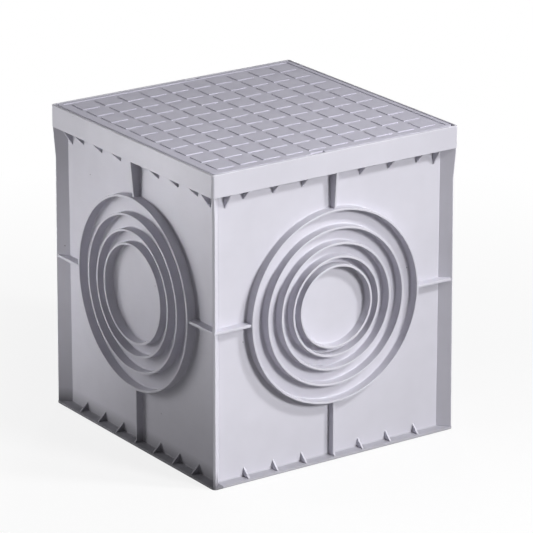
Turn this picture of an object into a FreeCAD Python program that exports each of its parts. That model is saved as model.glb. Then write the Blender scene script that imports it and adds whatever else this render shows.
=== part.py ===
"""Moulded underground cable chamber with a lift-off tiled lid.

One moulding is the chamber: four upright walls on a closed floor, a wide collar round the mouth,
knock-out rings on every wall, and the fins, belts, ribs and gussets that stiffen it. The other
moulding is the lid, an inverted tray that stands on the seat inside the collar.
"""
import FreeCAD
import Part
import math
import os

import Sketcher

Vector = FreeCAD.Vector

# Driving sizes, in millimetres. Rings are given by their outside diameter.
SIZES = {
    # Collar and overall size
    "side": 300,
    "height": 330,
    "collar_height": 24,
    "collar_corner": 3,
    "collar_edge": 1.2,
    "collar_overhang": 11.3,
    "rim_wall": 2.5,
    "seat_thickness": 3,
    # Walls, floor and foot flange
    "wall_thickness": 3,
    "wall_corner": 4,
    "cavity_corner": 8,
    "floor_thickness": 3,
    "flange_reach": 11.3,
    "flange_thickness": 2.5,
    "flange_corner": 4,
    # Knock-out rings
    "ring_first": 206,
    "ring_second": 168,
    "ring_third": 135,
    "ring_fourth": 107,
    "ring_fifth": 88.5,
    "ring_wall": 2.5,
    "ring_setback": 0.5,
    # Corner fins, belt ribs and middle ribs
    "fin_thickness": 3,
    "fin_foot_setback": 1.5,
    "fin_waist_setback": 3,
    "fin_flare": 33,
    "belt_thickness": 3,
    "belt_setback": 2,
    "rib_thickness": 2.5,
    "rib_setback": 4,
    # Gussets under the collar, beside the corners and on the foot flange
    "gusset_thickness": 2,
    "gusset_height": 10.8,
    "gusset_margin": 32.7,
    "corner_gusset_height": 16.5,
    "corner_gusset_inset": 11,
    "foot_gusset_height": 12,
    "foot_gusset_setback": 1.5,
    # Lid
    "lid_gap": 1,
    "lid_corner": 6,
    "lid_edge": 0.8,
    "lid_skirt": 2.5,
    "lid_plate": 3,
    "lid_frame": 5.5,
    "tile_count": 10,
    "groove_width": 7.2,
    "groove_depth": 1,
    "lid_rib_count": 4,
    "lid_rib_thickness": 2,
    "lid_rib_depth": 8,
    "notch_length": 16,
    "notch_depth": 4,
    "notch_offset": 21,
}

# Levels and half widths worked out from the driving sizes. A half width is measured from the
# upright axis. A "bite" lies inside the material, so that what is added there fuses with it.
DERIVED = {
    "collar_half": "Sizes.side / 2",
    "collar_under": "Sizes.height - Sizes.collar_height",
    "collar_bite": "collar_under + Sizes.seat_thickness / 2",
    "seat": "collar_under + Sizes.seat_thickness",
    "recess_half": "collar_half - Sizes.rim_wall",
    "recess_corner": "Sizes.collar_corner / 2",
    "recess_depth": "Sizes.height - seat",
    "wall_half": "collar_half - Sizes.collar_overhang",
    "wall_bite": "wall_half - Sizes.wall_thickness * 0.3",
    "cavity_half": "wall_half - Sizes.wall_thickness",
    "cavity_depth": "seat - Sizes.floor_thickness",
    "flange_half": "wall_half + Sizes.flange_reach",
    "flange_bite": "Sizes.flange_thickness / 2",
    "ring_level": "Sizes.height / 2",
    "ring_face": "collar_half - Sizes.ring_setback",
    "ring_length": "ring_face - wall_bite",
    "ring_bite": "(Sizes.ring_first - Sizes.ring_wall) / 2",
    "ring_top": "ring_level + ring_bite",
    "ring_bottom": "ring_level - ring_bite",
    "belt_half": "collar_half - Sizes.belt_setback",
    "rib_tip": "collar_half - Sizes.rib_setback",
    "fin_root": "cavity_half * sqrt(2)",
    "fin_foot": "(collar_half - Sizes.fin_foot_setback) * sqrt(2)",
    "fin_waist": "(collar_half - Sizes.fin_waist_setback) * sqrt(2)",
    "fin_crown": "(collar_half - Sizes.collar_corner * 0.4) * sqrt(2)",
    "flare_level": "collar_under - Sizes.fin_flare",
    "gusset_start": "wall_half - Sizes.gusset_margin",
    "gusset_span": "gusset_start * 2",
    "gusset_foot": "collar_under - Sizes.gusset_height",
    "corner_gusset_start": "wall_half - Sizes.corner_gusset_inset",
    "corner_gusset_span": "corner_gusset_start * 2",
    "corner_gusset_foot": "collar_under - Sizes.corner_gusset_height",
    "foot_gusset_tip": "flange_half - Sizes.foot_gusset_setback",
    "lid_half": "recess_half - Sizes.lid_gap",
    "tray_half": "lid_half - Sizes.lid_skirt",
    "tray_corner": "Sizes.lid_corner - Sizes.lid_skirt",
    "tray_top": "Sizes.height - Sizes.groove_depth - Sizes.lid_plate",
    "tray_depth": "tray_top - seat",
    "field_half": "lid_half - Sizes.lid_frame",
    "groove_start": "field_half - Sizes.groove_width",
    "groove_span": "field_half + groove_start",
    "lid_rib_top": "tray_top + Sizes.lid_plate / 2",
    "lid_rib_foot": "tray_top - Sizes.lid_rib_depth",
    "lid_rib_end": "lid_half - Sizes.lid_skirt / 2",
    "lid_rib_start": "tray_half * (Sizes.lid_rib_count - 1) / (Sizes.lid_rib_count + 1)",
    "lid_rib_span": "lid_rib_start * 2",
    "notch_near": "Sizes.notch_offset - Sizes.notch_length / 2",
    "notch_far": "Sizes.notch_offset + Sizes.notch_length / 2",
    "notch_floor": "lid_half - Sizes.notch_depth",
    "notch_mouth": "lid_half + Sizes.lid_gap",
}

# Each wall, with the angle of its outward normal about the upright axis.
WALLS = {"Front": -90, "Right": 0, "Back": 90, "Left": 180}
GUSSETS_IN_ROW = 7
# Nearness, in millimetres, at which two levels count as the same.
TOUCH = 1e-3

doc = FreeCAD.newDocument("CableChamber")
sizes = doc.addObject("Spreadsheet::Sheet", "Sizes")
derived = doc.addObject("Spreadsheet::Sheet", "Derived")


def fill_sheet(sheet, cells):
    """Write one named cell per row: its name in column A and its content in column B."""
    for row, (name, content) in enumerate(cells.items(), start=1):
        sheet.set(f"A{row}", name)
        sheet.set(f"B{row}", content)
        sheet.setAlias(f"B{row}", name)
    doc.recompute()


fill_sheet(sizes, {name: str(number) for name, number in SIZES.items()})
fill_sheet(derived, {name: "=" + formula for name, formula in DERIVED.items()})


def cell(term):
    """Expression for a cell of either sheet. A leading minus turns it round."""
    name = term.lstrip("-")
    sheet_cell = f"Sizes.{name}" if name in SIZES else f"Derived.{name}"
    return f"-1 * {sheet_cell}" if term.startswith("-") else sheet_cell


def value(term):
    """Present value of a cell of either sheet. A leading minus turns it round."""
    name = term.lstrip("-")
    amount = float(getattr(sizes if name in SIZES else derived, name))
    return -amount if term.startswith("-") else amount


def origin_feature(body, role):
    """One of a body's own origin planes or axes, by its role."""
    return next(item for item in body.Origin.OriginFeatures if item.Role == role)


def flat_sketch(body, name, level=None):
    """Level sketch, on the ground or at a named height above it."""
    sketch = body.newObject("Sketcher::SketchObject", name)
    sketch.AttachmentSupport = [(origin_feature(body, "XY_Plane"), "")]
    sketch.MapMode = "FlatFace"
    if level:
        sketch.setExpression("AttachmentOffset.Base.z", cell(level))
    return sketch


def upright_sketch(body, name, angle, shift=None):
    """Upright sketch through the axis: its X axis points out at an angle, its Y axis up.

    A named shift moves it along its own normal, which points to the right of its X axis.
    """
    sketch = body.newObject("Sketcher::SketchObject", name)
    sketch.AttachmentSupport = [(origin_feature(body, "XZ_Plane"), "")]
    sketch.MapMode = "FlatFace"
    sketch.AttachmentOffset = FreeCAD.Placement(Vector(), FreeCAD.Rotation(Vector(0, 1, 0), angle))
    if shift:
        normal_x = round(math.sin(math.radians(angle)))
        normal_z = round(math.cos(math.radians(angle)))
        sketch.setExpression("AttachmentOffset.Base.x", f"{normal_x} * ({cell(shift)})")
        sketch.setExpression("AttachmentOffset.Base.z", f"{normal_z} * ({cell(shift)})")
    return sketch


def bind(sketch, constraint, expression):
    """Add a dimension to a sketch and tie it to an expression."""
    index = sketch.addConstraint(constraint)
    sketch.setExpression(f"Constraints[{index}]", expression)


def draw_polygon(sketch, corners):
    """Closed outline through corners that are pairs of cell names."""
    points = [Vector(value(across), value(up), 0) for across, up in corners]
    first = sketch.GeometryCount
    count = len(points)
    for place, point in enumerate(points):
        sketch.addGeometry(Part.LineSegment(point, points[(place + 1) % count]), False)
    for place, (across, up) in enumerate(corners):
        line = first + place
        following = first + (place + 1) % count
        point = points[place]
        sketch.addConstraint(Sketcher.Constraint("Coincident", line, 2, following, 1))
        bind(sketch, Sketcher.Constraint("DistanceX", -1, 1, line, 1, point.x), cell(across))
        bind(sketch, Sketcher.Constraint("DistanceY", -1, 1, line, 1, point.y), cell(up))


def draw_square(sketch, half, corner):
    """Square about the sketch origin with rounded corners, from a named half width and radius."""
    reach = value(half)
    radius = value(corner)
    flat = reach - radius
    for quarter in range(4):
        turn = FreeCAD.Rotation(Vector(0, 0, 1), 90 * quarter)
        start = turn.multVec(Vector(reach, -flat, 0))
        end = turn.multVec(Vector(reach, flat, 0))
        centre = turn.multVec(Vector(flat, flat, 0))
        circle = Part.Circle(centre, Vector(0, 0, 1), radius)
        opening = math.radians(90 * quarter)
        sketch.addGeometry(Part.LineSegment(start, end), False)
        sketch.addGeometry(Part.ArcOfCircle(circle, opening, opening + math.pi / 2), False)
    for quarter in range(4):
        line = 2 * quarter
        arc = line + 1
        following = (line + 2) % 8
        sketch.addConstraint(Sketcher.Constraint("Tangent", line, 2, arc, 1))
        sketch.addConstraint(Sketcher.Constraint("Tangent", arc, 2, following, 1))
        sketch.addConstraint(Sketcher.Constraint("Horizontal" if quarter % 2 else "Vertical", line))
        if quarter:
            sketch.addConstraint(Sketcher.Constraint("Equal", 1, arc))
    sketch.addConstraint(Sketcher.Constraint("Symmetric", 1, 3, 5, 3, -1, 1))
    bind(sketch, Sketcher.Constraint("Radius", 1, radius), cell(corner))
    bind(sketch, Sketcher.Constraint("DistanceX", -1, 1, 0, 1, reach), cell(half))
    bind(sketch, Sketcher.Constraint("DistanceY", -1, 1, 2, 1, reach), cell(half))


def draw_ring(sketch, diameter):
    """Thin round wall about the knock-out centre, from its named outside diameter."""
    centre = Vector(0, value("ring_level"), 0)
    outside = value(diameter) / 2
    circles = {
        f"{cell(diameter)} / 2": outside,
        f"{cell(diameter)} / 2 - {cell('ring_wall')}": outside - value("ring_wall"),
    }
    for expression, radius in circles.items():
        circle = sketch.addGeometry(Part.Circle(centre, Vector(0, 0, 1), radius), False)
        sketch.addConstraint(Sketcher.Constraint("PointOnObject", circle, 3, -2))
        bind(sketch, Sketcher.Constraint("DistanceY", -1, 1, circle, 3, centre.y), cell("ring_level"))
        bind(sketch, Sketcher.Constraint("Radius", circle, radius), expression)


def pad(body, name, sketch, length, symmetric=False):
    """Add a prism of a named length along the sketch normal, or half to each side of it."""
    feature = body.newObject("PartDesign::Pad", name)
    feature.Profile = sketch
    feature.SideType = "Symmetric" if symmetric else "One side"
    feature.setExpression("Length", cell(length))
    return feature


def pocket(body, name, sketch, depth):
    """Cut a prism of a named depth below the sketch."""
    feature = body.newObject("PartDesign::Pocket", name)
    feature.Profile = sketch
    feature.setExpression("Length", cell(depth))
    return feature


def around(body, name, feature, copies):
    """Repeat a feature evenly round the upright axis."""
    pattern = body.newObject("PartDesign::PolarPattern", name)
    pattern.Originals = [feature]
    pattern.Axis = (origin_feature(body, "Z_Axis"), [""])
    pattern.Angle = 360
    pattern.Occurrences = copies
    body.Tip = pattern


def in_row(body, name, feature, direction, span, copies):
    """Repeat a feature along a direction, from its own place over a named span."""
    pattern = body.newObject("PartDesign::LinearPattern", name)
    pattern.Originals = [feature]
    pattern.Direction = direction
    pattern.setExpression("Length", cell(span))
    pattern.setExpression("Occurrences", copies)
    body.Tip = pattern


def break_top_edge(body, name, size):
    """Take the sharpness off every edge of the newest feature's top face."""
    doc.recompute()
    base = body.Tip
    top = base.Shape.BoundBox.ZMax
    names = []
    for place, edge in enumerate(base.Shape.Edges, start=1):
        if abs(edge.BoundBox.ZMin - top) < TOUCH:
            names.append(f"Edge{place}")
    feature = body.newObject("PartDesign::Chamfer", name)
    feature.Base = (base, names)
    feature.setExpression("Size", cell(size))


def build_shell(body):
    """Walls, collar, foot flange, lid recess and cavity."""
    walls = flat_sketch(body, "WallOutline")
    draw_square(walls, "wall_half", "wall_corner")
    pad(body, "Walls", walls, "collar_under")

    collar = flat_sketch(body, "CollarOutline", "collar_under")
    draw_square(collar, "collar_half", "collar_corner")
    pad(body, "Collar", collar, "collar_height")
    break_top_edge(body, "CollarEdge", "collar_edge")

    flange = flat_sketch(body, "FlangeOutline")
    draw_square(flange, "flange_half", "flange_corner")
    pad(body, "Flange", flange, "flange_thickness")

    recess = flat_sketch(body, "RecessOutline", "height")
    draw_square(recess, "recess_half", "recess_corner")
    pocket(body, "LidRecess", recess, "recess_depth")

    cavity = flat_sketch(body, "CavityOutline", "seat")
    draw_square(cavity, "cavity_half", "cavity_corner")
    pocket(body, "Cavity", cavity, "cavity_depth")


def build_rings(body):
    """Concentric knock-out rings: five on the front and back, four on the other two walls."""
    diameters = ["ring_first", "ring_second", "ring_third", "ring_fourth", "ring_fifth"]
    for wall, count in (("Front", 5), ("Left", 4)):
        rings = upright_sketch(body, f"{wall}RingOutlines", WALLS[wall] + 90, "wall_bite")
        for diameter in diameters[:count]:
            draw_ring(rings, diameter)
        ring_walls = pad(body, f"{wall}Rings", rings, "ring_length")
        around(body, f"{wall}RingPair", ring_walls, 2)


def build_fins_and_ribs(body):
    """Diagonal corner fins, belt ribs at half height and upright ribs in the middle of each wall."""
    fin = upright_sketch(body, "FinOutline", WALLS["Front"] - 45)
    draw_polygon(fin, [
        ("fin_root", "flange_bite"),
        ("fin_foot", "flange_bite"),
        ("fin_waist", "flare_level"),
        ("fin_crown", "collar_under"),
        ("fin_crown", "collar_bite"),
        ("fin_root", "collar_bite"),
    ])
    around(body, "Fins", pad(body, "Fin", fin, "fin_thickness", symmetric=True), 4)

    belt = flat_sketch(body, "BeltOutline", "ring_level")
    for side in ("", "-"):
        draw_polygon(belt, [
            (side + "ring_bite", "-wall_bite"),
            (side + "ring_bite", "-belt_half"),
            (side + "belt_half", "-belt_half"),
            (side + "wall_bite", "-wall_bite"),
        ])
    around(body, "Belts", pad(body, "Belt", belt, "belt_thickness", symmetric=True), 4)

    rib = upright_sketch(body, "RibOutline", WALLS["Front"])
    draw_polygon(rib, [
        ("wall_bite", "ring_top"),
        ("rib_tip", "ring_top"),
        ("ring_face", "collar_under"),
        ("ring_face", "collar_bite"),
        ("wall_bite", "collar_bite"),
    ])
    draw_polygon(rib, [
        ("wall_bite", "flange_bite"),
        ("rib_tip", "flange_bite"),
        ("rib_tip", "ring_bottom"),
        ("wall_bite", "ring_bottom"),
    ])
    around(body, "Ribs", pad(body, "Rib", rib, "rib_thickness", symmetric=True), 4)


def build_gussets(body):
    """Rows of small gussets under the collar and on the flange, and a tall pair beside each corner."""
    under_collar = [
        ("ring_face", "collar_under"),
        ("ring_face", "collar_bite"),
        ("wall_bite", "collar_bite"),
    ]
    on_flange = [
        ("wall_bite", "flange_bite"),
        ("foot_gusset_tip", "flange_bite"),
        ("foot_gusset_tip", "flange_thickness"),
    ]
    rows = {
        "Gusset": ("gusset", GUSSETS_IN_ROW, under_collar, "gusset_foot"),
        "CornerGusset": ("corner_gusset", 2, under_collar, "corner_gusset_foot"),
        "FootGusset": ("gusset", GUSSETS_IN_ROW, on_flange, "foot_gusset_height"),
    }
    for kind, (row, copies, held_edge, tip_level) in rows.items():
        for wall, angle in WALLS.items():
            outline = upright_sketch(body, f"{wall}{kind}Outline", angle, f"-{row}_start")
            on_wall = [("wall_bite", tip_level), ("wall_half", tip_level)]
            draw_polygon(outline, held_edge + (on_wall if held_edge is under_collar else on_wall[::-1]))
            gusset = pad(body, f"{wall}{kind}", outline, "gusset_thickness", symmetric=True)
            in_row(body, f"{wall}{kind}Row", gusset, (outline, ["N_Axis"]), f"{row}_span", str(copies))


def build_lid(body):
    """Inverted tray: framed and grooved top, skirt, crossed ribs underneath and two lifting notches."""
    outline = flat_sketch(body, "LidOutline", "seat")
    draw_square(outline, "lid_half", "lid_corner")
    pad(body, "LidBlock", outline, "recess_depth")
    break_top_edge(body, "LidEdge", "lid_edge")

    hollow = flat_sketch(body, "HollowOutline", "tray_top")
    draw_square(hollow, "tray_half", "tray_corner")
    pocket(body, "Hollow", hollow, "tray_depth")

    for name, angle in (("Long", 0), ("Cross", 90)):
        rib = upright_sketch(body, f"{name}RibOutline", angle, "-lid_rib_start")
        draw_polygon(rib, [
            ("-lid_rib_end", "lid_rib_foot"),
            ("lid_rib_end", "lid_rib_foot"),
            ("lid_rib_end", "lid_rib_top"),
            ("-lid_rib_end", "lid_rib_top"),
        ])
        plate = pad(body, f"{name}Rib", rib, "lid_rib_thickness", symmetric=True)
        in_row(body, f"{name}Ribs", plate, (rib, ["N_Axis"]), "lid_rib_span", "round(Sizes.lid_rib_count)")

    ends = ["-field_half", "field_half"]
    sides = ["-field_half", "-groove_start"]
    for name, across, up, axis in (("Long", sides, ends, "X_Axis"), ("Cross", ends, sides, "Y_Axis")):
        strip = flat_sketch(body, f"{name}GrooveOutline", "height")
        draw_polygon(strip, [(across[0], up[0]), (across[1], up[0]), (across[1], up[1]), (across[0], up[1])])
        groove = pocket(body, f"{name}Groove", strip, "groove_depth")
        direction = (origin_feature(body, axis), [""])
        in_row(body, f"{name}Grooves", groove, direction, "groove_span", "round(Sizes.tile_count) + 1")

    notch = flat_sketch(body, "NotchOutline", "height")
    draw_polygon(notch, [
        ("-notch_far", "-notch_mouth"),
        ("-notch_near", "-notch_mouth"),
        ("-notch_near", "-notch_floor"),
        ("-notch_far", "-notch_floor"),
    ])
    around(body, "Notches", pocket(body, "Notch", notch, "notch_depth"), 2)


def new_body(label):
    body = doc.addObject("PartDesign::Body", label)
    body.Label = label
    return body


pit_body = new_body("pit_body")
build_shell(pit_body)
build_rings(pit_body)
build_fins_and_ribs(pit_body)
build_gussets(pit_body)
lid = new_body("lid")
build_lid(lid)
doc.recompute()


def check_document():
    """Stop if any feature failed, a cut removed nothing or a moulding isn't one sound solid."""
    for item in doc.Objects:
        if "Invalid" in item.State or "Error" in item.State:
            raise RuntimeError(f"{item.Label} failed: {item.State}")
        cuts = item.TypeId == "PartDesign::Pocket"
        if cuts and not item.Shape.Volume < item.BaseFeature.Shape.Volume:
            raise RuntimeError(f"{item.Label} removes nothing")
    for body in (pit_body, lid):
        if body.Shape.isNull() or not body.Shape.isValid() or len(body.Shape.Solids) != 1:
            raise RuntimeError(f"{body.Label} is not one sound solid")


check_document()
os.makedirs("parts", exist_ok=True)
for body in (pit_body, lid):
    body.Shape.exportStep(f"parts/{body.Label}.step")
    box = body.Shape.BoundBox
    litres = body.Shape.Volume / 1e6
    print(f"{body.Label}: {box.XLength:.1f} x {box.YLength:.1f} x {box.ZLength:.1f} mm, {litres:.3f} litres")
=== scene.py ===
# %% [markdown]
# A moulded cable pit and its lid
# The real object is a square pit that is sunk into the ground, so that buried cables can be joined and
# reached. It is two mouldings of light grey polypropylene: the chamber, and a lid that lifts off.
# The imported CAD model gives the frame, and every piece made here sits where the CAD solids are.
# The object's sizes are in millimetres, and MM turns them into Blender's metres. The floor, the lamps and
# the camera's distance are in metres.

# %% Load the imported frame
import math

import bmesh
import bpy
from mathutils import Matrix, Vector


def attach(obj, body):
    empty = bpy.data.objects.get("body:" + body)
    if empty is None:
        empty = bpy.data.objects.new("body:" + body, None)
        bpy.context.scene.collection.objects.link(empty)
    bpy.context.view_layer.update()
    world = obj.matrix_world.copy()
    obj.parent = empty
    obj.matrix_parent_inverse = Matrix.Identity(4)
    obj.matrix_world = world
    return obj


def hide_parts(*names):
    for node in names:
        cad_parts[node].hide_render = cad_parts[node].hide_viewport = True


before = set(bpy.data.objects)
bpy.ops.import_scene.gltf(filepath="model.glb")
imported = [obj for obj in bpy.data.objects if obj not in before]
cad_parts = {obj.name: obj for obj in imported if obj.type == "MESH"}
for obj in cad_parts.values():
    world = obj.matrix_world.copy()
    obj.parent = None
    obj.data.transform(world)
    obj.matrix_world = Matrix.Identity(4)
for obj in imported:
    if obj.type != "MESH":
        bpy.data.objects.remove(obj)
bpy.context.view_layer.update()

MM = 0.001

# %% [markdown]
# Turning a working object into a finished piece
# A finished piece is a plain mesh at the origin. Modifiers are only tools on the way there, so one helper
# bakes them into the mesh. Smooth shading alone would bend the light on large flat faces beside small
# rounded edges, and weighted normals keep those faces flat.

# %% Helpers for finished pieces
SHARP_ANGLE = math.radians(50)


def new_object(name, mesh):
    """Put a mesh into the scene as an object at the origin."""
    made = bpy.data.objects.new(name, mesh)
    bpy.context.collection.objects.link(made)
    return made


def bake_modifiers(made):
    """Replace an object's mesh by what its modifiers make of it, and take the modifiers off."""
    depsgraph = bpy.context.evaluated_depsgraph_get()
    mesh = bpy.data.meshes.new_from_object(made.evaluated_get(depsgraph))
    made.modifiers.clear()
    made.data = mesh
    mesh.name = made.name


def shade(made):
    """Shade a piece smoothly, with its flat faces kept flat."""
    made.data.shade_smooth()
    made.data.set_sharp_from_angle(angle=SHARP_ANGLE)
    weighted = made.modifiers.new("flat faces", "WEIGHTED_NORMAL")
    weighted.keep_sharp = True
    bake_modifiers(made)


def finish_piece(made, finish, body):
    """Give a piece its finish, let it ride on its body and say how large it is."""
    made.data.materials.clear()
    made.data.materials.append(finish)
    shade(made)
    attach(made, body)
    made.data.calc_loop_triangles()
    print(made.name, "has", len(made.data.loop_triangles), "triangles")


print("Edges of more than", round(math.degrees(SHARP_ANGLE)), "degrees stay sharp")

# %% [markdown]
# The look of the plastic
# Polypropylene comes out of the mould matt and slightly waxy. Its colour drifts softly where the melt
# flowed, its skin has a fine grain from the tool, and handling leaves faint scuffs and a few dark specks.
# Painted shade darkens the foot, most on the left. Both mouldings show most of this, so the colour
# and the skin are node groups that both materials share with their own values.

# %% Helpers for node trees
def socket(group, name, way, kind, value=None):
    """Add a named socket to a node group, with its value at the start."""
    made = group.interface.new_socket(name, in_out=way, socket_type=kind)
    if value is not None:
        made.default_value = value


def add_node(group, kind, **settings):
    """Add a node and set its properties."""
    node = group.nodes.new(kind)
    for name, value in settings.items():
        setattr(node, name, value)
    return node


def noise(group, place, scale, detail):
    """Noise at a place, about one over scale metres across."""
    node = add_node(group, "ShaderNodeTexNoise")
    node.inputs["Scale"].default_value = scale
    node.inputs["Detail"].default_value = detail
    group.links.new(place, node.inputs["Vector"])
    return node.outputs["Fac"]


def remap(group, source, low, high, to_low, to_high):
    """Map one range of a value to another, held at its ends."""
    node = add_node(group, "ShaderNodeMapRange")
    for name, value in zip(("From Min", "From Max", "To Min", "To Max"), (low, high, to_low, to_high)):
        node.inputs[name].default_value = value
    group.links.new(source, node.inputs["Value"])
    return node.outputs["Result"]


def combine(group, operation, first, second):
    """Combine two values. Either may be a socket or a number."""
    node = add_node(group, "ShaderNodeMath", operation=operation)
    for place, term in enumerate((first, second)):
        if isinstance(term, (int, float)):
            node.inputs[place].default_value = term
        else:
            group.links.new(term, node.inputs[place])
    return node.outputs[0]


print("Node helpers: socket, add_node, noise, remap and combine")

# %% Node group for the drifting colour
CLOUD_SCALE = 9
FLOW_SCALE = 45
FLOW_SHARE = 0.5
NOISE_LOW = 0.3
NOISE_HIGH = 0.7
SPECK_SCALE = 55
SPECK_CORE = 0.02
SPECK_EDGE = 0.05
SPECK_FIELD_SCALE = 14
SPECK_FIELD_LOW = 0.6
SPECK_FIELD_HIGH = 0.64
# Painted shade at the foot: a band on the flange, and a taller fade up the left side.
SHADE_THINNEST = 0.8
FLANGE_SHADE = 2.6
FLANGE_SHADE_END = 4
LEFT_SHADE = 2.2
LEFT_SHADE_LEVEL = 2
LEFT_SHADE_END = 18
LEFT_FACE = -138.9
LEFT_FACE_END = -138

drift = bpy.data.node_groups.new("Moulding colour drift", "ShaderNodeTree")
socket(drift, "Place", "INPUT", "NodeSocketVector")
socket(drift, "Plastic", "INPUT", "NodeSocketColor", (0.5, 0.5, 0.5, 1))
socket(drift, "Drift", "INPUT", "NodeSocketFloat", 0.05)
socket(drift, "Specks", "INPUT", "NodeSocketFloat", 0.5)
socket(drift, "Painted foot shade", "INPUT", "NodeSocketFloat", 0.2)
socket(drift, "Color", "OUTPUT", "NodeSocketColor")
taken = add_node(drift, "NodeGroupInput")
given = add_node(drift, "NodeGroupOutput")
clouds = noise(drift, taken.outputs["Place"], CLOUD_SCALE, detail=3)
flow = noise(drift, taken.outputs["Place"], FLOW_SCALE, detail=2)
broad = remap(drift, clouds, NOISE_LOW, NOISE_HIGH, -1, 1)
narrow = remap(drift, flow, NOISE_LOW, NOISE_HIGH, -FLOW_SHARE, FLOW_SHARE)
tint = combine(drift, "ADD", broad, narrow)
level = combine(drift, "ADD", 1, combine(drift, "MULTIPLY", tint, taken.outputs["Drift"]))
cells = add_node(drift, "ShaderNodeTexVoronoi")
cells.inputs["Scale"].default_value = SPECK_SCALE
drift.links.new(taken.outputs["Place"], cells.inputs["Vector"])
dots = remap(drift, cells.outputs["Distance"], SPECK_CORE, SPECK_EDGE, 1, 0)
speck_field = noise(drift, taken.outputs["Place"], SPECK_FIELD_SCALE, detail=0)
rare = remap(drift, speck_field, SPECK_FIELD_LOW, SPECK_FIELD_HIGH, 0, 1)
speck = combine(drift, "MULTIPLY", combine(drift, "MULTIPLY", dots, rare), taken.outputs["Specks"])
clean = combine(drift, "MULTIPLY", level, combine(drift, "SUBTRACT", 1, speck))
axes = add_node(drift, "ShaderNodeSeparateXYZ")
drift.links.new(taken.outputs["Place"], axes.inputs[0])
# Painted shade: darker on the flange and up the foot of the left side, in patches.
flange_shade_mask = remap(drift, axes.outputs["Z"], FLANGE_SHADE * MM, FLANGE_SHADE_END * MM, 1, 0)
left_shade_mask = remap(drift, axes.outputs["Z"], LEFT_SHADE_LEVEL * MM, LEFT_SHADE_END * MM, LEFT_SHADE, 0)
left_side = remap(drift, axes.outputs["X"], LEFT_FACE * MM, LEFT_FACE_END * MM, 1, 0)
foot_shade_mask = combine(drift, "MAXIMUM", flange_shade_mask, combine(drift, "MULTIPLY", left_shade_mask, left_side))
shade_patches = remap(drift, flow, NOISE_LOW, NOISE_HIGH, SHADE_THINNEST, 1)
patchy_shade = combine(drift, "MULTIPLY", foot_shade_mask, shade_patches)
painted_foot_shade = combine(drift, "MULTIPLY", patchy_shade, taken.outputs["Painted foot shade"])
shown = combine(drift, "MULTIPLY", clean, combine(drift, "SUBTRACT", 1, painted_foot_shade))
scaled = add_node(drift, "ShaderNodeVectorMath", operation="SCALE")
drift.links.new(taken.outputs["Plastic"], scaled.inputs[0])
drift.links.new(shown, scaled.inputs["Scale"])
drift.links.new(scaled.outputs[0], given.inputs["Color"])
print("Node group", drift.name, "has", len(drift.nodes), "nodes")

# %% Node group for the skin of the moulding
GRAIN_SCALE = 900
GRAIN_SHARE = 0.25
SINK_SCALE = 22
SCUFF_SCALE = (60, 60, 700)
SCUFF_LOW = 0.35
SCUFF_HIGH = 0.7

skin = bpy.data.node_groups.new("Moulding skin", "ShaderNodeTree")
socket(skin, "Place", "INPUT", "NodeSocketVector")
socket(skin, "Grain scale", "INPUT", "NodeSocketFloat", GRAIN_SCALE)
socket(skin, "Roughness low", "INPUT", "NodeSocketFloat", 0.5)
socket(skin, "Roughness high", "INPUT", "NodeSocketFloat", 0.65)
socket(skin, "Height", "OUTPUT", "NodeSocketFloat")
socket(skin, "Roughness", "OUTPUT", "NodeSocketFloat")
taken = add_node(skin, "NodeGroupInput")
given = add_node(skin, "NodeGroupOutput")
grain = add_node(skin, "ShaderNodeTexNoise")
grain.inputs["Detail"].default_value = 2
skin.links.new(taken.outputs["Place"], grain.inputs["Vector"])
skin.links.new(taken.outputs["Grain scale"], grain.inputs["Scale"])
sink = noise(skin, taken.outputs["Place"], SINK_SCALE, detail=1)
height = combine(skin, "ADD", combine(skin, "MULTIPLY", grain.outputs["Fac"], GRAIN_SHARE), sink)
skin.links.new(height, given.inputs["Height"])
stretch = add_node(skin, "ShaderNodeVectorMath", operation="MULTIPLY")
stretch.inputs[1].default_value = SCUFF_SCALE
skin.links.new(taken.outputs["Place"], stretch.inputs[0])
scuffs = noise(skin, stretch.outputs[0], 1, detail=3)
matt = remap(skin, scuffs, SCUFF_LOW, SCUFF_HIGH, 0, 1)
blend = add_node(skin, "ShaderNodeMix", data_type="FLOAT")
skin.links.new(matt, blend.inputs["Factor"])
skin.links.new(taken.outputs["Roughness low"], blend.inputs["A"])
skin.links.new(taken.outputs["Roughness high"], blend.inputs["B"])
skin.links.new(blend.outputs["Result"], given.inputs["Roughness"])
print("Node group", skin.name, "has", len(skin.nodes), "nodes")

# %% Two plastics from the same groups
BUMP_STRENGTH = 0.35
BUMP_DISTANCE = 0.15
SPECULAR = 0.3


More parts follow.
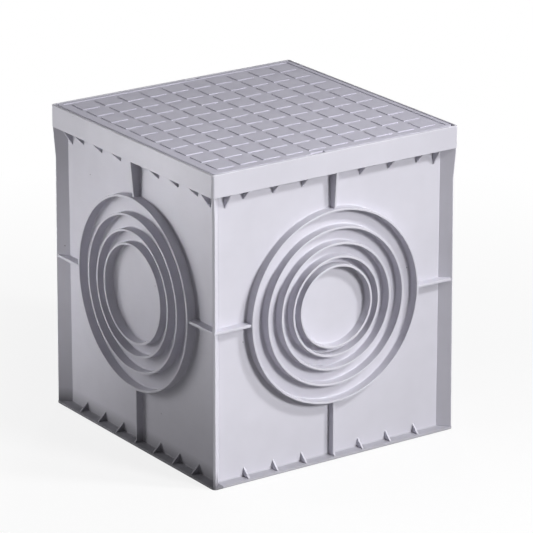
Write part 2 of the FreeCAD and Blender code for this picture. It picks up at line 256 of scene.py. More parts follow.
def moulded_plastic(name, plastic, drift_amount, specks, painted_foot_shade, roughness):
    """Matt moulded plastic with drifting colour, tool grain, faint scuffs and painted shade at the foot."""
    finish = bpy.data.materials.new(name)
    finish.use_nodes = True
    tree = finish.node_tree
    shader = tree.nodes["Principled BSDF"]
    place = add_node(tree, "ShaderNodeTexCoord").outputs["Object"]
    colour = add_node(tree, "ShaderNodeGroup", node_tree=drift)
    colour.inputs["Plastic"].default_value = (*plastic, 1)
    colour.inputs["Drift"].default_value = drift_amount
    colour.inputs["Specks"].default_value = specks
    colour.inputs["Painted foot shade"].default_value = painted_foot_shade
    tree.links.new(place, colour.inputs["Place"])
    tree.links.new(colour.outputs["Color"], shader.inputs["Base Color"])
    surface = add_node(tree, "ShaderNodeGroup", node_tree=skin)
    surface.inputs["Roughness low"].default_value = roughness[0]
    surface.inputs["Roughness high"].default_value = roughness[1]
    tree.links.new(place, surface.inputs["Place"])
    tree.links.new(surface.outputs["Roughness"], shader.inputs["Roughness"])
    bump = add_node(tree, "ShaderNodeBump")
    bump.inputs["Strength"].default_value = BUMP_STRENGTH
    bump.inputs["Distance"].default_value = BUMP_DISTANCE * MM
    tree.links.new(surface.outputs["Height"], bump.inputs["Height"])
    tree.links.new(bump.outputs["Normal"], shader.inputs["Normal"])
    shader.inputs["Specular IOR Level"].default_value = SPECULAR
    return finish


# The body gets painted shade at its foot, and the lid gets none.
body_plastic = moulded_plastic("body_plastic", plastic=(0.56, 0.55, 0.61), drift_amount=0.03,
                               specks=0.7, painted_foot_shade=0.33, roughness=(0.5, 0.65))
lid_plastic = moulded_plastic("lid_plastic", plastic=(0.575, 0.56, 0.655), drift_amount=0.03,
                              specks=0.2, painted_foot_shade=0, roughness=(0.5, 0.65))
print("Finishes", body_plastic.name, "and", lid_plastic.name)

# %% [markdown]
# The shell of the chamber
# The walls, the collar, the lid's seat and the foot flange are one skin. Seen from above, every level of
# it is a square with rounded corners, so the whole shell can be lofted through such squares, from the
# underside up the outside, over the rim and down the inside to the floor. Each bend of the profile is eased
# by a small curve, as a moulding's edges are.

# %% Loft of rounded squares
CORNER_STEPS = 6
EASE_STEPS = 4


def rounded_square(half, corner, level):
    """One level loop of a square with rounded corners, anticlockwise from above."""
    loop = []
    centre = Vector((half - corner, half - corner))
    for quarter in range(4):
        turn = Matrix.Rotation(math.radians(90 * quarter), 2)
        for step in range(CORNER_STEPS + 1):
            angle = math.radians(90 * step / CORNER_STEPS)
            point = turn @ (centre + corner * Vector((math.cos(angle), math.sin(angle))))
            loop.append(Vector((point.x, point.y, level)) * MM)
    return loop


def eased_profile(stations):
    """Loops along a profile of (half, level, corner, ease) stations, with each bend eased."""
    loops = []
    for place, (half, level, corner, ease) in enumerate(stations):
        here = Vector((half, level))
        if place in (0, len(stations) - 1) or not ease:
            loops.append(rounded_square(half, corner, level))
            continue
        before = (Vector(stations[place - 1][:2]) - here).normalized() * ease
        after = (Vector(stations[place + 1][:2]) - here).normalized() * ease
        for step in range(EASE_STEPS + 1):
            t = step / EASE_STEPS
            point = here + before * (1 - t) ** 2 + after * t ** 2
            loops.append(rounded_square(point.x, corner, point.y))
    return loops


def loft(name, stations):
    """Closed skin through the loops of a profile that runs up the outside and down the inside."""
    bm = bmesh.new()
    rows = [[bm.verts.new(point) for point in loop] for loop in eased_profile(stations)]
    count = len(rows[0])
    for low, high in zip(rows, rows[1:]):
        for place in range(count):
            following = (place + 1) % count
            bm.faces.new((low[place], low[following], high[following], high[place]))
    bm.faces.new(rows[0][::-1])
    bm.faces.new(rows[-1])
    mesh = bpy.data.meshes.new(name)
    bm.to_mesh(mesh)
    bm.free()
    return new_object(name, mesh)


print("Corners have", CORNER_STEPS, "steps and eased bends", EASE_STEPS)

# %% The chamber's shell
SIDE = 300
HEIGHT = 330
COLLAR_UNDER = 306
SEAT = 309
RECESS_HALF = 147.5
WALL_HALF = 138.7
WALL = 3
FLANGE_HALF = 150
FLANGE_CORNER = 4
FLANGE = 2.5
COLLAR_HALF = SIDE / 2
WALL_CORNER = 4
COLLAR_CORNER = 3
RECESS_CORNER = 1.5
CHAMBER_CORNER = 8
CHAMBER_HALF = WALL_HALF - WALL
FOOT_EASE = 0.4
EDGE_EASE = 0.5
BEND_EASE = 1.2
SEAT_EASE = 0.6
FLOOR_EASE = 3

shell = loft("chamber_shell", [
    (FLANGE_HALF - FLANGE_CORNER, 0, FLANGE_CORNER, 0),
    (FLANGE_HALF, 0, FLANGE_CORNER, FOOT_EASE),
    (FLANGE_HALF, FLANGE, FLANGE_CORNER, EDGE_EASE),
    (WALL_HALF, FLANGE, WALL_CORNER, BEND_EASE),
    (WALL_HALF, COLLAR_UNDER, WALL_CORNER, BEND_EASE),
    (COLLAR_HALF, COLLAR_UNDER, COLLAR_CORNER, EDGE_EASE),
    (COLLAR_HALF, HEIGHT, COLLAR_CORNER, BEND_EASE),
    (RECESS_HALF, HEIGHT, RECESS_CORNER, EDGE_EASE),
    (RECESS_HALF, SEAT, RECESS_CORNER, EDGE_EASE),
    (CHAMBER_HALF, SEAT, CHAMBER_CORNER, SEAT_EASE),
    (CHAMBER_HALF, WALL, CHAMBER_CORNER, FLOOR_EASE),
    (WALL_HALF - 3 * WALL, WALL, CHAMBER_CORNER, 0),
])
finish_piece(shell, body_plastic, "chamber")
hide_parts("pit_body")

# %% [markdown]
# Slabs that stiffen the walls
# Fins run down the corners, a belt goes round at half height, an upright rib stands in the middle of each
# wall, and small gussets hold the collar and the foot flange. All of them are flat slabs with eased edges.
# One slab of each kind is drawn on the front wall, and Geometry Nodes repeat it in a row and round the
# four sides, which keeps the sizes of a row in named inputs.

# %% One slab
SLAB_EASE = 0.5
GUSSET_EASE = 0.3


def slab(name, outlines, thickness, ease, upright=True):
    """Slabs of one thickness from outlines of (out, up) pairs, or lying ones from (across, out) pairs."""
    bm = bmesh.new()
    for outline in outlines:
        for side in (-0.5, 0.5):
            depth = side * thickness
            if upright:
                points = [(depth, -out, up) for out, up in outline]
            else:
                points = [(across, -out, HEIGHT / 2 + depth) for across, out in outline]
            ring = [bm.verts.new(Vector(point) * MM) for point in points]
            bm.faces.new(ring)
            if side < 0:
                first = ring
        count = len(first)
        for place in range(count):
            following = (place + 1) % count
            bm.faces.new((first[place], first[following], ring[following], ring[place]))
    bmesh.ops.recalc_face_normals(bm, faces=bm.faces[:])
    bmesh.ops.bevel(bm, geom=bm.edges[:], offset=ease * MM, segments=2, profile=0.5, affect="EDGES",
                    clamp_overlap=True)
    mesh = bpy.data.meshes.new(name)
    bm.to_mesh(mesh)
    bm.free()
    return new_object(name, mesh)


print("Slabs have edges eased by", SLAB_EASE, "mm, and gussets by", GUSSET_EASE, "mm")

# %% Helpers for geometry trees
def new_tree(name, inputs):
    """Geometry node tree with a geometry input and output and named inputs."""
    tree = bpy.data.node_groups.new(name, "GeometryNodeTree")
    tree.is_modifier = True
    socket(tree, "Geometry", "INPUT", "NodeSocketGeometry")
    for label, kind, start in inputs:
        socket(tree, label, "INPUT", kind, start)
    socket(tree, "Geometry", "OUTPUT", "NodeSocketGeometry")
    return tree, add_node(tree, "NodeGroupInput"), add_node(tree, "NodeGroupOutput")


def round_the_sides(tree, geometry, taken):
    """Repeat a geometry on some sides round the upright axis, from a first turn on by equal steps."""
    wrapped = add_node(tree, "GeometryNodeGeometryToInstance")
    tree.links.new(geometry, wrapped.inputs[0])
    copies = add_node(tree, "GeometryNodeDuplicateElements", domain="INSTANCE")
    tree.links.new(wrapped.outputs[0], copies.inputs["Geometry"])
    tree.links.new(taken.outputs["Sides"], copies.inputs["Amount"])
    turned_on = combine(tree, "MULTIPLY", copies.outputs["Duplicate Index"], taken.outputs["Step"])
    angle = combine(tree, "ADD", turned_on, taken.outputs["First turn"])
    euler = add_node(tree, "ShaderNodeCombineXYZ")
    tree.links.new(angle, euler.inputs["Z"])
    rotation = add_node(tree, "FunctionNodeEulerToRotation")
    tree.links.new(euler.outputs[0], rotation.inputs[0])
    turned = add_node(tree, "GeometryNodeRotateInstances")
    tree.links.new(copies.outputs["Geometry"], turned.inputs["Instances"])
    tree.links.new(rotation.outputs[0], turned.inputs["Rotation"])
    return turned.outputs["Instances"]


def realize(tree, geometry, finish, given):
    """End a tree: real meshes with their finish."""
    real = add_node(tree, "GeometryNodeRealizeInstances")
    tree.links.new(geometry, real.inputs["Geometry"])
    dressed = add_node(tree, "GeometryNodeSetMaterial")
    tree.links.new(real.outputs["Geometry"], dressed.inputs["Geometry"])
    tree.links.new(finish, dressed.inputs["Material"])
    tree.links.new(dressed.outputs["Geometry"], given.inputs["Geometry"])


def grow(made, tree, **values):
    """Run a tree on an object with named inputs, and keep the result as its plain mesh."""
    modifier = made.modifiers.new(tree.name, "NODES")
    modifier.node_group = tree
    for item in tree.interface.items_tree:
        label = item.name.replace(" ", "_").lower()
        if item.in_out == "INPUT" and label in values:
            modifier[item.identifier] = values[label]
    bake_modifiers(made)


print("Geometry helpers: new_tree, round_the_sides, realize and grow")

# %% Tree that repeats a slab in rows on four sides
rows, taken, given = new_tree("Rows on four sides", [
    ("Count", "NodeSocketInt", 1),
    ("Half row", "NodeSocketFloat", 0.0),
    ("Sides", "NodeSocketInt", 4),
    ("Step", "NodeSocketFloat", math.radians(90)),
    ("First turn", "NodeSocketFloat", 0.0),
    ("Finish", "NodeSocketMaterial", None),
])
line = add_node(rows, "GeometryNodeMeshLine", mode="END_POINTS")
rows.links.new(taken.outputs["Count"], line.inputs["Count"])
for end, sign in (("Start Location", -1), ("Offset", 1)):
    place = add_node(rows, "ShaderNodeCombineXYZ")
    rows.links.new(combine(rows, "MULTIPLY", taken.outputs["Half row"], sign), place.inputs["X"])
    rows.links.new(place.outputs[0], line.inputs[end])
scatter = add_node(rows, "GeometryNodeInstanceOnPoints")
rows.links.new(line.outputs["Mesh"], scatter.inputs["Points"])
rows.links.new(taken.outputs["Geometry"], scatter.inputs["Instance"])
all_sides = round_the_sides(rows, scatter.outputs["Instances"], taken)
realize(rows, all_sides, taken.outputs["Finish"], given)
print("Tree", rows.name, "has", len(rows.nodes), "nodes")

# %% Corner fins
FIN = 3
FIN_ROOT = 135.7
FIN_FOOT = 148.5
FIN_WAIST = 147
FIN_CROWN = 148.8
FLARE_LEVEL = 273
DIAGONAL = math.sqrt(2)
COLLAR_BITE = 307.5
FLANGE_BITE = 1.25

fins = slab("corner_fins", [[
    (FIN_ROOT * DIAGONAL, FLANGE_BITE),
    (FIN_FOOT * DIAGONAL, FLANGE_BITE),
    (FIN_WAIST * DIAGONAL, FLARE_LEVEL),
    (FIN_CROWN * DIAGONAL, COLLAR_UNDER),
    (FIN_CROWN * DIAGONAL, COLLAR_BITE),
    (FIN_ROOT * DIAGONAL, COLLAR_BITE),
]], FIN, SLAB_EASE)
grow(fins, rows, first_turn=math.radians(45), finish=body_plastic)
finish_piece(fins, body_plastic, "chamber")

# %% Belts and middle ribs
RING_LEVEL = HEIGHT / 2
RING_BITE = 101.75
RING_FACE = 149.5
WALL_BITE = 137.8
BELT = 3
BELT_HALF = 148
RIB = 2.5
RIB_TIP = 146

belts = slab("belts", [
    [
        (side * RING_BITE, WALL_BITE),
        (side * RING_BITE, BELT_HALF),
        (side * BELT_HALF, BELT_HALF),
        (side * WALL_BITE, WALL_BITE),
    ] for side in (-1, 1)
], BELT, SLAB_EASE, upright=False)
grow(belts, rows, finish=body_plastic)
finish_piece(belts, body_plastic, "chamber")

ribs = slab("middle_ribs", [
    [
        (WALL_BITE, RING_LEVEL + RING_BITE),
        (RIB_TIP, RING_LEVEL + RING_BITE),
        (RING_FACE, COLLAR_UNDER),
        (RING_FACE, COLLAR_BITE),
        (WALL_BITE, COLLAR_BITE),
    ],
    [
        (WALL_BITE, FLANGE_BITE),
        (RIB_TIP, FLANGE_BITE),
        (RIB_TIP, RING_LEVEL - RING_BITE),
        (WALL_BITE, RING_LEVEL - RING_BITE),
    ],
], RIB, SLAB_EASE)
grow(ribs, rows, finish=body_plastic)
finish_piece(ribs, body_plastic, "chamber")

# %% Gussets
GUSSET = 2
GUSSETS_IN_ROW = 7
GUSSET_HALF_ROW = 106
GUSSET_HEIGHT = 10.8
CORNER_GUSSET_HALF_ROW = 127.7
CORNER_GUSSET_HEIGHT = 16.5
FOOT_GUSSET_HEIGHT = 12
FOOT_GUSSET_TIP = 148.5


def under_collar(height):
    """Outline of a gusset that hangs under the collar."""
    return [
        (WALL_BITE, COLLAR_UNDER - height),
        (WALL_HALF, COLLAR_UNDER - height),
        (RING_FACE, COLLAR_UNDER),
        (RING_FACE, COLLAR_BITE),
        (WALL_BITE, COLLAR_BITE),
    ]


collar_gussets = slab("collar_gussets", [under_collar(GUSSET_HEIGHT)], GUSSET, GUSSET_EASE)
grow(collar_gussets, rows, count=GUSSETS_IN_ROW, half_row=GUSSET_HALF_ROW * MM, finish=body_plastic)
corner_gussets = slab("corner_gussets", [under_collar(CORNER_GUSSET_HEIGHT)], GUSSET, GUSSET_EASE)
grow(corner_gussets, rows, count=2, half_row=CORNER_GUSSET_HALF_ROW * MM, finish=body_plastic)
foot_gussets = slab("foot_gussets", [[
    (WALL_BITE, FLANGE_BITE),
    (FOOT_GUSSET_TIP, FLANGE_BITE),
    (FOOT_GUSSET_TIP, FLANGE),
    (WALL_HALF, FOOT_GUSSET_HEIGHT),
    (WALL_BITE, FOOT_GUSSET_HEIGHT),
]], GUSSET, GUSSET_EASE)
grow(foot_gussets, rows, count=GUSSETS_IN_ROW, half_row=GUSSET_HALF_ROW * MM, finish=body_plastic)
for gussets in (collar_gussets, corner_gussets, foot_gussets):
    finish_piece(gussets, body_plastic, "chamber")

# %% [markdown]
# Knock-out rings
# Thin concentric rings stand on every wall. The installer cuts out the wall inside the ring that suits the
# conduit. A ring is one small profile swept round a circle, and only the circle's radius differs, so the
# tree reads the radii from points, sweeps all the circles at once and sets the rings on two opposite walls.

# %% Tree for the rings of two opposite walls: the circles
RING_WALL = 2.5
RING_EASE = 0.5
RING_ROOT_FLARE = 0.9
RING_ROOT_LEVEL = 1.2
RING_SEGMENTS = 160
RING_EASE_POINTS = 3

ring_tree, taken, given = new_tree("Knock-out rings", [
    ("Ring wall", "NodeSocketFloat", RING_WALL * MM),
    ("Reach", "NodeSocketFloat", (RING_FACE - WALL_BITE) * MM),
    ("Edge ease", "NodeSocketFloat", RING_EASE * MM),
    ("Root flare", "NodeSocketFloat", RING_ROOT_FLARE * MM),
    ("Root level", "NodeSocketFloat", RING_ROOT_LEVEL * MM),
    ("Segments", "NodeSocketInt", RING_SEGMENTS),
    ("Wall distance", "NodeSocketFloat", WALL_BITE * MM),
    ("Level", "NodeSocketFloat", RING_LEVEL * MM),
    ("Sides", "NodeSocketInt", 2),
    ("Step", "NodeSocketFloat", math.radians(180)),
    ("First turn", "NodeSocketFloat", 0.0),
    ("Finish", "NodeSocketMaterial", None),
])
unit = add_node(ring_tree, "GeometryNodeCurvePrimitiveCircle", mode="RADIUS")
unit.inputs["Radius"].default_value = 1
ring_tree.links.new(taken.outputs["Segments"], unit.inputs["Resolution"])
radius = add_node(ring_tree, "GeometryNodeInputNamedAttribute", data_type="FLOAT")
radius.inputs["Name"].default_value = "ring_radius"
circles = add_node(ring_tree, "GeometryNodeInstanceOnPoints")
ring_tree.links.new(taken.outputs["Geometry"], circles.inputs["Points"])
ring_tree.links.new(unit.outputs["Curve"], circles.inputs["Instance"])
ring_tree.links.new(radius.outputs["Attribute"], circles.inputs["Scale"])
paths = add_node(ring_tree, "GeometryNodeRealizeInstances")
ring_tree.links.new(circles.outputs["Instances"], paths.inputs["Geometry"])
upright = add_node(ring_tree, "GeometryNodeSetCurveNormal", mode="Z_UP")
ring_tree.links.new(paths.outputs["Geometry"], upright.inputs["Curve"])
print("Circles have", RING_SEGMENTS, "segments")


# %% Tree for the rings of two opposite walls: the profile
def sweep(profile, centre):
    """Sweep a profile round all the circles, moved out along their axis to its centre."""
    offset = add_node(ring_tree, "ShaderNodeCombineXYZ")
    ring_tree.links.new(centre, offset.inputs["Y"])
    moved = add_node(ring_tree, "GeometryNodeTransform")
    ring_tree.links.new(profile, moved.inputs["Geometry"])
    ring_tree.links.new(offset.outputs[0], moved.inputs["Translation"])
    swept = add_node(ring_tree, "GeometryNodeCurveToMesh")
    ring_tree.links.new(upright.outputs["Curve"], swept.inputs["Curve"])
    ring_tree.links.new(moved.outputs["Geometry"], swept.inputs["Profile Curve"])
    return swept.outputs["Mesh"]


blade = add_node(ring_tree, "GeometryNodeCurvePrimitiveQuadrilateral", mode="RECTANGLE")
ring_tree.links.new(taken.outputs["Ring wall"], blade.inputs["Width"])
ring_tree.links.new(taken.outputs["Reach"], blade.inputs["Height"])
eased = add_node(ring_tree, "GeometryNodeFilletCurve", mode="POLY")
eased.inputs["Count"].default_value = RING_EASE_POINTS
ring_tree.links.new(blade.outputs["Curve"], eased.inputs["Curve"])
ring_tree.links.new(taken.outputs["Edge ease"], eased.inputs["Radius"])
half_reach = combine(ring_tree, "MULTIPLY", taken.outputs["Reach"], 0.5)
blades = sweep(eased.outputs["Curve"], half_reach)

foot = add_node(ring_tree, "GeometryNodeCurvePrimitiveQuadrilateral", mode="TRAPEZOID")
both_flares = combine(ring_tree, "MULTIPLY", taken.outputs["Root flare"], 2)
wide = combine(ring_tree, "ADD", taken.outputs["Ring wall"], both_flares)
ring_tree.links.new(wide, foot.inputs["Bottom Width"])
ring_tree.links.new(taken.outputs["Ring wall"], foot.inputs["Top Width"])
ring_tree.links.new(taken.outputs["Root flare"], foot.inputs["Height"])
foot.inputs["Offset"].default_value = 0
feet = sweep(foot.outputs["Curve"], taken.outputs["Root level"])

together = add_node(ring_tree, "GeometryNodeJoinGeometry")
for part in (blades, feet):
    ring_tree.links.new(part, together.inputs["Geometry"])
place = add_node(ring_tree, "ShaderNodeCombineXYZ")
ring_tree.links.new(combine(ring_tree, "MULTIPLY", taken.outputs["Wall distance"], -1), place.inputs["Y"])
ring_tree.links.new(taken.outputs["Level"], place.inputs["Z"])
on_wall = add_node(ring_tree, "GeometryNodeTransform")
on_wall.inputs["Rotation"].default_value = (math.radians(-90), 0, 0)
ring_tree.links.new(together.outputs["Geometry"], on_wall.inputs["Geometry"])
ring_tree.links.new(place.outputs[0], on_wall.inputs["Translation"])
pair = round_the_sides(ring_tree, on_wall.outputs["Geometry"], taken)
realize(ring_tree, pair, taken.outputs["Finish"], given)
print("Tree", ring_tree.name, "has", len(ring_tree.nodes), "nodes")

# %% The rings
RING_DIAMETERS = (206, 168, 135, 107, 88.5)
RINGS_LEFT = 4


def knock_out_rings(name, diameters, turn):
    """Rings of these outside diameters on a wall and on the one behind it."""
    mesh = bpy.data.meshes.new(name)
    mesh.from_pydata([(0, 0, 0)] * len(diameters), [], [])
    radii = mesh.attributes.new("ring_radius", "FLOAT", "POINT")
    for point, diameter in zip(radii.data, diameters):
        point.value = (diameter - RING_WALL) / 2 * MM
    made = new_object(name, mesh)
    grow(made, ring_tree, first_turn=turn, finish=body_plastic)
    finish_piece(made, body_plastic, "chamber")


knock_out_rings("rings_front_back", RING_DIAMETERS, 0.0)
knock_out_rings("rings_left_right", RING_DIAMETERS[:RINGS_LEFT], math.radians(-90))

# %% [markdown]
# The lid
# The lid is an inverted tray: a skirt that stands on the seat, a framed top and crossed ribs underneath.
# It is lofted through rounded squares like the shell. Two lifting notches are cut into its edge with a
# boolean, and the new sharp edges get a small bevel. The tiles of the top repeat, so they come from a tree.
# The grooves between them are drawn a third of a millimetre shallower than in the solid, as faint as the
# photo shows them.

# %% The tray
LID_HALF = 146.5
LID_CORNER = 6
LID_SKIRT = 2.5
LID_FRAME = 5.5
LID_PLATE = 4
GROOVE_DEPTH = 0.65
GROOVE_FLOOR = HEIGHT - GROOVE_DEPTH
TRAY_TOP = HEIGHT - LID_PLATE
FIELD_HALF = LID_HALF - LID_FRAME
TRAY_HALF = LID_HALF - LID_SKIRT
TRAY_CORNER = LID_CORNER - LID_SKIRT
FIELD_CORNER = 1
CAP_INSET = 6
TRAY_EASE = 1
SKIRT_EASE = 0.4
LID_EASE = 0.8
FIELD_EASE = 0.2

tray = loft("lid_tray", [
    (TRAY_HALF - CAP_INSET, TRAY_TOP, TRAY_CORNER, 0),
    (TRAY_HALF, TRAY_TOP, TRAY_CORNER, TRAY_EASE),
    (TRAY_HALF, SEAT, TRAY_CORNER, SKIRT_EASE),
    (LID_HALF, SEAT, LID_CORNER, SKIRT_EASE),
    (LID_HALF, HEIGHT, LID_CORNER, LID_EASE),
    (FIELD_HALF, HEIGHT, FIELD_CORNER, FIELD_EASE),
    (FIELD_HALF, GROOVE_FLOOR, FIELD_CORNER, FIELD_EASE),
    (FIELD_HALF - CAP_INSET, GROOVE_FLOOR, FIELD_CORNER, 0),
])
print("The tray has", len(tray.data.polygons), "faces before its notches are cut")

# %% The notches
NOTCH_LENGTH = 16
NOTCH_DEPTH = 4
NOTCH_OFFSET = 21
NOTCH_EASE = 0.3
NOTCH_SHARP = math.radians(60)

cutter_mesh = bpy.data.meshes.new("notch_cutter")
bm = bmesh.new()
for side in (-1, 1):
    cube = bmesh.ops.create_cube(bm, size=1)["verts"]
    size = Vector((NOTCH_LENGTH, 2 * NOTCH_DEPTH, 2 * NOTCH_DEPTH)) * MM
    centre = Vector((side * NOTCH_OFFSET, side * LID_HALF, HEIGHT)) * MM
    bmesh.ops.transform(bm, verts=cube, matrix=Matrix.LocRotScale(centre, None, size))
bm.to_mesh(cutter_mesh)
bm.free()
cutter = new_object("notch_cutter", cutter_mesh)
cut = tray.modifiers.new("notches", "BOOLEAN")
cut.object = cutter
cut.solver = "EXACT"
bake_modifiers(tray)
bpy.data.objects.remove(cutter)
ease = tray.modifiers.new("notch edges", "BEVEL")
ease.limit_method = "ANGLE"
ease.angle_limit = NOTCH_SHARP
ease.width = NOTCH_EASE * MM
ease.segments = 2
bake_modifiers(tray)
finish_piece(tray, lid_plastic, "lid")
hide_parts("lid")

# %% Tree for the field of tiles
TILE_COUNT = 10
GROOVE_WIDTH = 7.2
TILE_PITCH = (2 * FIELD_HALF - GROOVE_WIDTH) / TILE_COUNT

field, taken, given = new_tree("Field of tiles", [
    ("Count", "NodeSocketInt", TILE_COUNT),
    ("Pitch", "NodeSocketFloat", TILE_PITCH * MM),
    ("Level", "NodeSocketFloat", HEIGHT * MM),
    ("Finish", "NodeSocketMaterial", None),
])
steps = combine(field, "SUBTRACT", taken.outputs["Count"], 1)
span = combine(field, "MULTIPLY", taken.outputs["Pitch"], steps)
grid = add_node(field, "GeometryNodeMeshGrid")
for name in ("Size X", "Size Y"):
    field.links.new(span, grid.inputs[name])
for name in ("Vertices X", "Vertices Y"):
    field.links.new(taken.outputs["Count"], grid.inputs[name])
lift = add_node(field, "ShaderNodeCombineXYZ")
field.links.new(taken.outputs["Level"], lift.inputs["Z"])
raised = add_node(field, "GeometryNodeTransform")
field.links.new(grid.outputs["Mesh"], raised.inputs["Geometry"])
field.links.new(lift.outputs[0], raised.inputs["Translation"])
laid = add_node(field, "GeometryNodeInstanceOnPoints")
field.links.new(raised.outputs["Geometry"], laid.inputs["Points"])
field.links.new(taken.outputs["Geometry"], laid.inputs["Instance"])
realize(field, laid.outputs["Instances"], taken.outputs["Finish"], given)
print("Tree", field.name, "has", len(field.nodes), "nodes")

# %% The tiles
TILE = TILE_PITCH - GROOVE_WIDTH
TILE_EASE = 0.2
TILE_ROOT = 1

bm = bmesh.new()
block = bmesh.ops.create_cube(bm, size=1)["verts"]
tile_size = Vector((TILE, TILE, GROOVE_DEPTH + TILE_ROOT)) * MM
tile_centre = Vector((0, 0, -tile_size.z / 2))
bmesh.ops.transform(bm, verts=block, matrix=Matrix.LocRotScale(tile_centre, None, tile_size))
upper = [edge for edge in bm.edges if all(vert.co.z > tile_centre.z for vert in edge.verts)]
uprights = [edge for edge in bm.edges if abs(edge.verts[0].co.z - edge.verts[1].co.z) > MM]
bmesh.ops.bevel(bm, geom=upper + uprights, offset=TILE_EASE * MM, segments=2, profile=0.5, affect="EDGES")
tile_mesh = bpy.data.meshes.new("lid_tiles")
bm.to_mesh(tile_mesh)
bm.free()
tiles = new_object("lid_tiles", tile_mesh)
grow(tiles, field, finish=lid_plastic)
finish_piece(tiles, lid_plastic, "lid")

# %% Ribs under the lid
LID_RIB = 2
LID_RIB_COUNT = 4
LID_RIB_DEPTH = 8
LID_RIB_FOOT = TRAY_TOP - LID_RIB_DEPTH
LID_RIB_HALF_ROW = TRAY_HALF * (LID_RIB_COUNT - 1) / (LID_RIB_COUNT + 1)
LID_RIB_END = LID_HALF - LID_SKIRT / 2

lid_ribs = slab("lid_ribs", [[
    (-LID_RIB_END, LID_RIB_FOOT),
    (LID_RIB_END, LID_RIB_FOOT),
    (LID_RIB_END, TRAY_TOP + LID_PLATE / 2),
    (-LID_RIB_END, TRAY_TOP + LID_PLATE / 2),
]], LID_RIB, GUSSET_EASE)
grow(lid_ribs, rows, count=LID_RIB_COUNT, half_row=LID_RIB_HALF_ROW * MM, sides=2, finish=lid_plastic)
finish_piece(lid_ribs, lid_plastic, "lid")

# %% [markdown]
# Floor, light and camera
# The portrait is on plain white. The floor and the world are white only to the camera and in reflections,
# so they don't flood the object with light. Near the object the floor shines less by itself, so that the
# soft shadow shows there, and further out it is as white as the world, so that no edge of it shows.
# A small key lamp from the upper right draws the shadows of the rings. A front lamp of narrow spread lights
# the front wall and fades to the right. Three lamps below the level of the lid light the left wall from the
# back left, so it fades downwards and to the front, and the tiles keep their dark sides. A low lamp lights
# the hidden sides.

# %% Floor
FLOOR_HALF = 6
PAPER_SEEN = 0.85
PAPER_BOUNCE = 0.2
PAPER_GLOW = 0.82
PAPER_ROUGHNESS = 0.9
FADE_FROM = 0.25
FADE_TO = 0.9


def rays_that_see(tree):
    """One for rays from the camera and for reflections, and nought for rays that only carry light."""
    ray = add_node(tree, "ShaderNodeLightPath")
    seen = combine(tree, "MAXIMUM", ray.outputs["Is Camera Ray"], ray.outputs["Is Glossy Ray"])
    return combine(tree, "MAXIMUM", seen, ray.outputs["Is Transmission Ray"])


floor_mesh = bpy.data.meshes.new("floor")
corners = [(x * FLOOR_HALF, y * FLOOR_HALF, 0) for x, y in ((-1, -1), (1, -1), (1, 1), (-1, 1))]
floor_mesh.from_pydata(corners, [], [(0, 1, 2, 3)])
floor = new_object("floor", floor_mesh)
paper = bpy.data.materials.new("white_paper")
paper.use_nodes = True
tree = paper.node_tree
base = tree.nodes["Principled BSDF"]
base.inputs["Roughness"].default_value = PAPER_ROUGHNESS
glow = add_node(tree, "ShaderNodeEmission")
glow.inputs["Strength"].default_value = 1
seen = rays_that_see(tree)
tree.links.new(remap(tree, seen, 0, 1, PAPER_BOUNCE, PAPER_SEEN), base.inputs["Base Color"])
reach = add_node(tree, "ShaderNodeVectorMath", operation="LENGTH")
tree.links.new(add_node(tree, "ShaderNodeTexCoord").outputs["Object"], reach.inputs[0])
own_light = remap(tree, reach.outputs["Value"], FADE_FROM, FADE_TO, PAPER_GLOW, 1)
share = combine(tree, "MULTIPLY", seen, own_light)
mixed = add_node(tree, "ShaderNodeMixShader")
tree.links.new(share, mixed.inputs["Fac"])
tree.links.new(base.outputs["BSDF"], mixed.inputs[1])
tree.links.new(glow.outputs["Emission"], mixed.inputs[2])
tree.links.new(mixed.outputs["Shader"], tree.nodes["Material Output"].inputs["Surface"])
floor_mesh.materials.append(paper)
print("Floor", 2 * FLOOR_HALF, "m wide")

# %% World
WORLD_LIGHT = 0.09

world = bpy.data.worlds.new("studio")
bpy.context.scene.world = world
world.use_nodes = True
tree = world.node_tree
dim = tree.nodes["Background"]
dim.inputs["Color"].default_value = (1, 1, 1, 1)
dim.inputs["Strength"].default_value = WORLD_LIGHT
white = add_node(tree, "ShaderNodeBackground")
white.inputs["Color"].default_value = (1, 1, 1, 1)
white.inputs["Strength"].default_value = 1
mixed = add_node(tree, "ShaderNodeMixShader")
tree.links.new(rays_that_see(tree), mixed.inputs["Fac"])
tree.links.new(dim.outputs["Background"], mixed.inputs[1])
tree.links.new(white.outputs["Background"], mixed.inputs[2])
tree.links.new(mixed.outputs["Shader"], tree.nodes["World Output"].inputs["Surface"])
print("World lights the object at", WORLD_LIGHT)

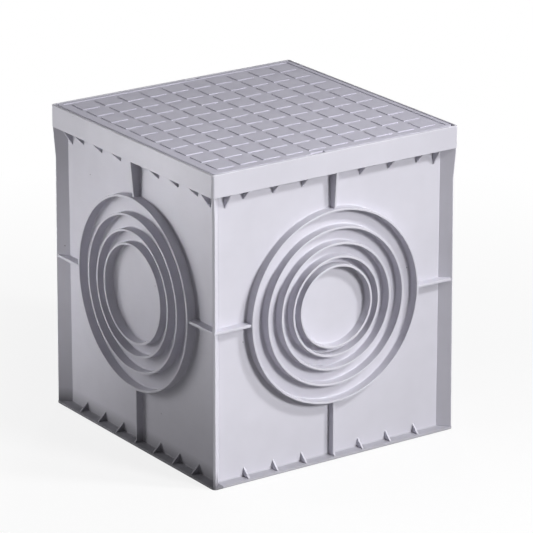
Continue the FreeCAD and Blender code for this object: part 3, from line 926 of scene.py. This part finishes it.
# %% Lamps
def soft_lamp(name, place, target, size, power, spread=180):
    """Square area lamp at a place, pointed at a target. A narrow spread, in degrees, fades sideways."""
    lamp = bpy.data.lights.new(name, "AREA")
    lamp.shape = "SQUARE"
    lamp.size = size
    lamp.energy = power
    lamp.spread = math.radians(spread)
    made = new_object(name, lamp)
    made.location = place
    made.rotation_euler = (Vector(target) - Vector(place)).to_track_quat("-Z", "Y").to_euler()
    print(name, "at", place, "with", power, "W")


soft_lamp("key_lamp", (0.72, -0.99, 1.19), (0, 0, 0.165), size=0.2, power=14)
soft_lamp("front_lamp", (0.38, -1.56, 0.8), (-0.24, -0.15, 0.09), size=0.35, power=2.25, spread=55)
soft_lamp("left_lamp", (-0.5, 0.4, 0.24), (-0.14, 0, 0.22), size=0.25, power=1.25)
soft_lamp("rim_lamp", (-1, 0.4, 0.26), (-0.15, -0.1, 0.32), size=0.12, power=0.155, spread=30)
soft_lamp("fin_lamp", (-1, 0.1, 0.14), (-0.15, 0.16, 0.14), size=0.1, power=0.045, spread=26)
soft_lamp("back_lamp", (0.9, 1.2, 0.16), (0, 0, 0.165), size=0.28, power=9)

# %% Camera
AZIMUTH = math.radians(-34.605)
ELEVATION = math.radians(18.987)
DISTANCE = 3.778
LENS = 245.4
SENSOR = 36
AIM_LEVEL = 150
AIM_RIGHT = 14.15
AIM_UP = 14.6

back = Vector((math.sin(AZIMUTH) * math.cos(ELEVATION), -math.cos(AZIMUTH) * math.cos(ELEVATION),
               math.sin(ELEVATION)))
right = Vector((math.cos(AZIMUTH), math.sin(AZIMUTH), 0))
up = back.cross(right)
aim = (Vector((0, 0, AIM_LEVEL)) + AIM_RIGHT * right + AIM_UP * up) * MM
camera_data = bpy.data.cameras.new("portrait_camera")
camera_data.lens = LENS
camera_data.sensor_width = SENSOR
camera = new_object("portrait_camera", camera_data)
turn = Matrix((right, up, back)).transposed().to_4x4()
camera.matrix_world = Matrix.Translation(aim + DISTANCE * back) @ turn
bpy.context.scene.camera = camera
bpy.context.scene.view_settings.view_transform = "Standard"
print("Camera", round(math.degrees(ELEVATION)), "degrees above the object, lens", LENS, "mm")
